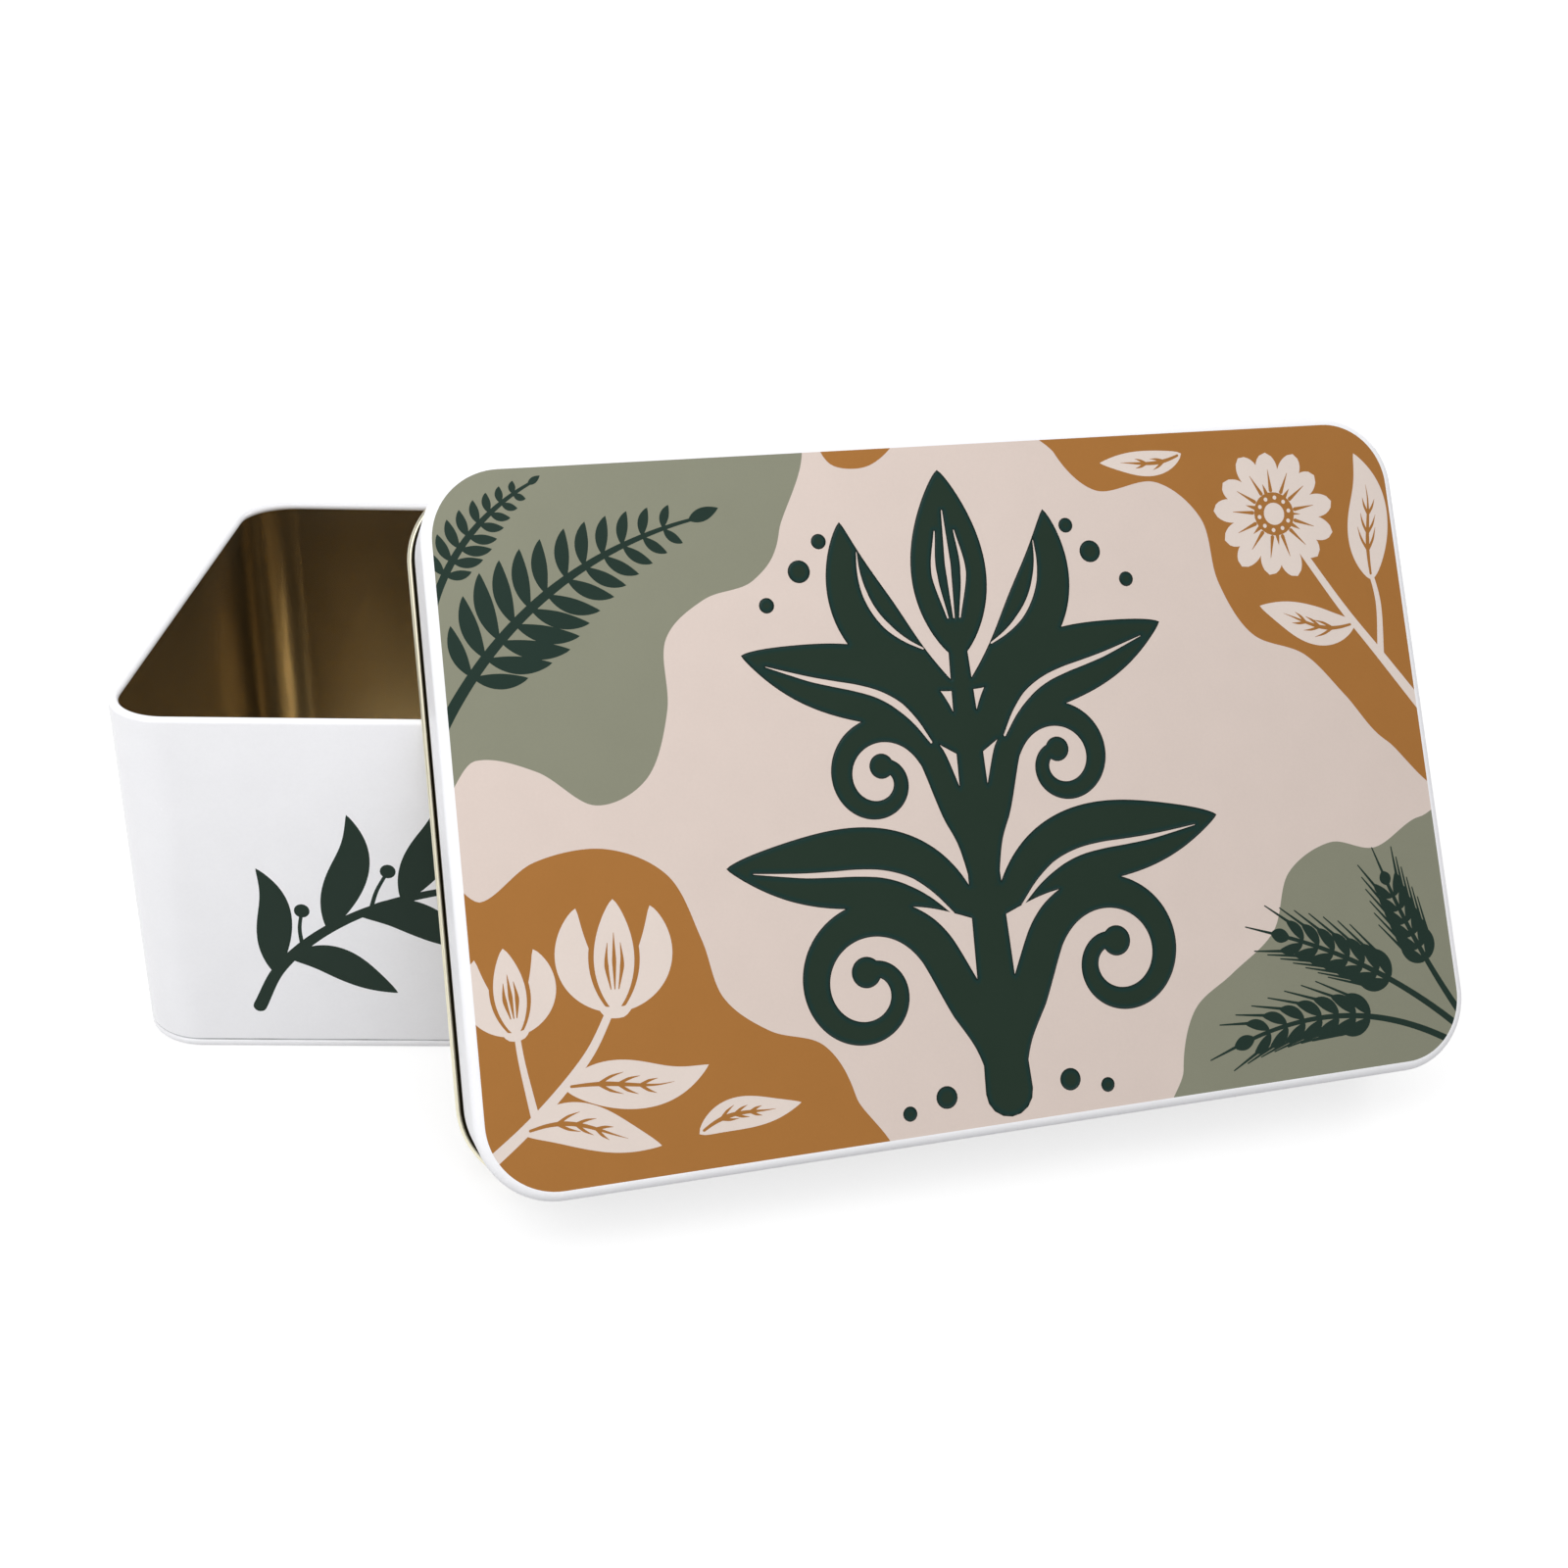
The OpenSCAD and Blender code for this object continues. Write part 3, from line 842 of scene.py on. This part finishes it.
def makeBottom(b):
    edge = b["footTurn"] + b["foot"] + 2 * b["floorTurn"] + tin["sheet"]
    drop = b["floorRise"] - layer - 2 * b["floorTurn"] - tin["sheet"]
    rows = bendSheet((-edge, b["floorRise"]), 0, [
        [b["floorTurn"], -90], [drop], [b["floorTurn"], 90], [b["foot"]],
        [b["footTurn"] - 2 * tin["sheet"] - tin["foldGap"], 90], [b["grooveUp"] - tin["foldGap"]]])
    stations = cornerStations(boxWidth, boxDepth, boxCorner)
    shell = Shell()
    shell.sheetRound(rows, stations, always("lacquer"), always("lacquer"), cuts=("last",))
    points, triangles, looks = inkedTriangles(borderInside(stations, edge), [], "lacquer")
    for height, way in ((b["floorRise"], -1), (b["floorRise"] + tin["sheet"], 1)):
        shell.flatPrint(triangles, looks, lambda c: Vector((*points[c], height)), Vector((0, 0, way)))
    return shell.finish("bottomPanel")


relief = {   # of the raised print, in mm
    "rise": 0.16,
    "bevel": 0.5, "bevelSteps": (0.2, 0.4, 0.6, 0.8, 1.0),   # width, and the shares of it that get points
    "tint": 1.2, "tintSteps": (0.6, 1),   # the same of the painted edge shade
    "clear": 0.96,   # share of its depth kept from every other edge
}


def fromEdge(points, edges):   # distance of each point from the nearest edge, and the direction away from it
    starts, runs = edges[:, 0], edges[:, 1] - edges[:, 0]
    length = (runs ** 2).sum(1)
    depths, ways = np.zeros(len(points)), np.zeros((len(points), 2))
    atOnce, tiny = 150, 1e-9
    for some in np.array_split(np.arange(len(points)), max(1, len(points) // atOnce)):
        place = points[some][:, None]
        t = (((place - starts) * runs).sum(2) / length).clip(0, 1)
        gaps = place - (starts + runs * t[..., None])
        far = np.hypot(gaps[..., 0], gaps[..., 1])
        best = far.argmin(1)
        pick = np.arange(len(some))
        depths[some] = far[pick, best]
        ways[some] = gaps[pick, best] / np.maximum(far[pick, best], tiny)[:, None]
    return depths, ways


def outlineOf(ink, points, triangles, looks):   # the edges round an ink, which lies on their left
    edges = [edge for corners, look in zip(triangles, looks) if look == ink
             for edge in zip(corners, corners[1:] + corners[:1])]
    directed = set(edges)
    return np.array([[points[a], points[c]] for a, c in edges if (c, a) not in directed])


def bevelPoints(edges):   # places inside the edges, along the bevel and the tint
    runs = edges[:, 1] - edges[:, 0]
    inward = np.column_stack([-runs[:, 1], runs[:, 0]]) / np.hypot(*runs.T)[:, None]
    places = []
    for width, steps in (("bevel", "bevelSteps"), ("tint", "tintSteps")):
        for depth in (relief[width] * share for share in relief[steps]):
            tries = edges.mean(1) + inward * depth
            depths = fromEdge(tries, edges)[0]
            places += [tuple(p) for p, d in zip(tries, depths) if d > relief["clear"] * depth]
    return places


leaning = {"lean": 30.2, "turn": 12.8}   # degrees from upright, and from the front of the box


def leanMatrix(s, points):   # tilts the lid and puts it where the frame has it
    lean, turn = radians(s["lean"]), radians(s["turn"])
    across = Vector((cos(turn), sin(turn), 0))
    up = Vector((-sin(turn) * sin(lean), cos(turn) * sin(lean), cos(lean)))
    tilt = Matrix((across, up, across.cross(up))).transposed().to_4x4()
    tilted = np.array([tilt @ Vector(p) for p in points])
    middle = (tilted.min(0) + tilted.max(0)) / 2
    low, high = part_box("lid")
    place = (Vector(low) + Vector(high)) / 2 / mm - Vector(middle)
    print("middle of the lid's face at", [round(c, 3) for c in place], "mm")
    return Matrix.Translation(place) @ tilt


def makeLid(m):
    rows = bendSheet((-m["edge"], -tin["sheet"]), 0, [
        [m["edge"] - tin["sheet"], -90], [m["height"] - m["edge"] - m["curl"] - m["bare"]], [m["bare"]],
        [m["curl"] - tin["sheet"], tin["curlTurn"]]])
    turns = [degrees(way) + 90 for place, way in rows]   # how far the curl has turned at each row
    bareRow = ceil(90 / tin["arcStep"]) + 1

    def inside(row):   # the sheet's inner side, which the curl turns outward
        if row <= bareRow:
            return "lacquer"
        # the curl's outer face gets a painted highlight, the side facing the skirt painted shade
        return "curl" if turns[row] < m["pooledFrom"] else "pooled"

    def outside(row):   # the enamel stops a little above the curl, and that strip and the curl's hidden side get painted shade
        return "lidWhite" if row < bareRow else "pooled"

    stations = cornerStations(m["width"], m["depth"], m["corner"])
    shell = Shell()
    shell.sheetRound(rows, stations, inside, outside, cuts=("last",))
    border = borderInside(stations, m["edge"])
    points, triangles, looks = inkedTriangles(border, [], "lacquer")
    shell.flatPrint(triangles, looks, lambda c: Vector((*points[c], -tin["sheet"])), Vector((0, 0, -1)))

    # the first pass finds the outline of the raised print, the second has points along its bevel
    shapes = lidShapes(lidPlan)
    edges = outlineOf("emblem", *inkedTriangles(border, shapes, "blush"))
    points, triangles, looks = inkedTriangles(border, shapes, "blush", bevelPoints(edges))
    raised = sorted({c for corners, look in zip(triangles, looks) if look == "emblem" for c in corners})
    depths, ways = fromEdge(points[raised], edges)
    share = (depths / relief["bevel"]).clip(0, 1)
    heights, normals = np.zeros(len(points)), np.tile([0.0, 0.0, 1.0], (len(points), 1))
    heights[raised] = relief["rise"] * share ** 2 * (3 - 2 * share)   # an S curve, and below its slope
    normals[raised, :2] = -ways * (relief["rise"] / relief["bevel"] * 6 * share * (1 - share))[:, None]
    places = [Vector((*p, height)) for p, height in zip(points, heights)]
    for corners, look in zip(triangles, looks):
        shell.face([places[c] for c in corners], [Vector(normals[c]) for c in corners], look)
    # how far each raised point lies inside the painted edge shade
    tints = depths / relief["tint"]
    shell.depths = {shell.point(places[c]): min(1.0, tint) for c, tint in zip(raised, tints)}
    return shell.finish("printedLid", leanMatrix(leaning, shell.points))


wall = makeWall(boxMade)
bottom = makeBottom(boxMade)
lid = makeLid(lidMade)
for piece, node, body, slotName in ((wall, "box_wall", "box", "white_enamel"),
                                    (bottom, "box_bottom", "box", "gold_lacquer"),
                                    (lid, "lid", "lid", "lid_enamel")):
    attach(piece, body)
    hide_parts(node)

studio = {
    "ambient": 0.75,   # what matt surfaces get from all round
    "room": 0.02,   # what gloss finds elsewhere
    "backdrop": (-0.64, 0.766, 0),   # which way the lit backdrop lies
    "backdropEdge": (0.6, 0.74),   # starts and is full at these cosines from its middle
    "backdropTop": (0.55, 0.4),   # ends and is full at these sines above the floor
    "lamps": [("leftLamp", (-0.22, -0.3, 0.38), 0.3, 0.56),   # place, size in m, watts
              ("lowLamp", (-0.42, -0.5, 0.16), 0.25, 0.35),
              ("topLamp", (0.0, -0.14, 0.4), 0.3, 0.3),
              ("backLamp", (0.68, 0.59, 0.35), 0.26, 1.9)],
    "aim": (0.02, -0.03, 0.04),   # what the lamps point at
}
floorMade = {
    "size": 30.0,   # in m
    "colour": (168, 168, 168), "rough": 0.9,
    "cloud": 40, "mottle": 0.01,   # wide patches: size in mm, change of tone
    "lift": (0.69, 0.84),   # extra light of the floor for the camera, near and far
    "liftRange": (0.25, 0.9),   # m from the middle
}


def seesBackground(tree):   # 1 for the rays of the camera, of gloss and of glass
    camera, gloss, glass = (Wire.node(tree, "LightPath", out=f"Is {kind} Ray")
                            for kind in ("Camera", "Glossy", "Transmission"))
    return camera.larger(gloss).larger(glass)


def softRange(tree, value, start, end, low=0, high=1):   # runs from low to high between start and end
    sockets = {"Value": value, "From Min": start, "From Max": end, "To Min": low, "To Max": high}
    return Wire.node(tree, "MapRange", {"interpolation_type": "SMOOTHSTEP"}, sockets)


def makeWorld(s):   # soft light all round; gloss finds the backdrop behind the tin, and else a dim room
    world = bpy.data.worlds.new("studio")
    bpy.context.scene.world = world
    world.use_nodes = True
    tree = world.node_tree
    background = tree.nodes["Background"]
    seen = seesBackground(tree)
    ray = Wire.node(tree, "TexCoord", out="Generated")
    both = {0: ray, 1: s["backdrop"]}
    behind = Wire.node(tree, "VectorMath", {"operation": "DOT_PRODUCT"}, both, "Value")
    above = Wire.node(tree, "SeparateXYZ", {}, {0: ray}, "Z")
    lit = softRange(tree, behind, *s["backdropEdge"]) * softRange(tree, above, *s["backdropTop"])
    backdrop = s["room"] + lit * (1 - s["room"])
    direct = Wire.node(tree, "LightPath", out="Is Camera Ray")
    white = direct + (1 - direct) * backdrop
    (s["ambient"] * (1 - seen) + seen * white).into(background.inputs["Strength"])
    background.inputs["Color"].default_value = (1, 1, 1, 1)


def hangLamps(s):
    for name, place, size, watts in s["lamps"]:
        lamp = bpy.data.objects.new(name, bpy.data.lights.new(name, "AREA"))
        lamp.data.energy = watts
        lamp.data.size = size
        lamp.visible_camera = False
        lamp.location = place
        lamp.rotation_euler = (Vector(s["aim"]) - Vector(place)).to_track_quat("-Z", "Y").to_euler()
        bpy.context.scene.collection.objects.link(lamp)


def layFloor(f):
    half = f["size"] / 2
    mesh = bpy.data.meshes.new("floor")
    corners = [(x * half, y * half, 0) for x, y in ((-1, -1), (1, -1), (1, 1), (-1, 1))]
    mesh.from_pydata(corners, [], [(0, 1, 2, 3)])
    floor = bpy.data.objects.new("floor", mesh)
    bpy.context.scene.collection.objects.link(floor)
    finish, tree, shader = blankFinish("floor_paper")
    place = Wire.node(tree, "TexCoord", out="Object")
    tone = 1 + uneven(spots(tree, place, f["cloud"]), f["mottle"])
    shade(tree, linear(f["colour"]), tone).into(shader.inputs["Base Color"])
    away = Wire.node(tree, "VectorMath", {"operation": "LENGTH"}, {0: place}, "Value")
    glow = seesBackground(tree) * softRange(tree, away, *f["liftRange"], *f["lift"])
    shade(tree, (1, 1, 1), glow).into(shader.inputs["Emission Color"])
    shader.inputs["Emission Strength"].default_value = 1
    shader.inputs["Roughness"].default_value = f["rough"]
    shader.inputs["Specular IOR Level"].default_value = 0
    floor.data.materials.append(finish)


bpy.context.scene.view_settings.view_transform = "Standard"
makeWorld(studio)
hangLamps(studio)
layFloor(floorMade)
print("studio lit with", len(studio["lamps"]), "lamps")
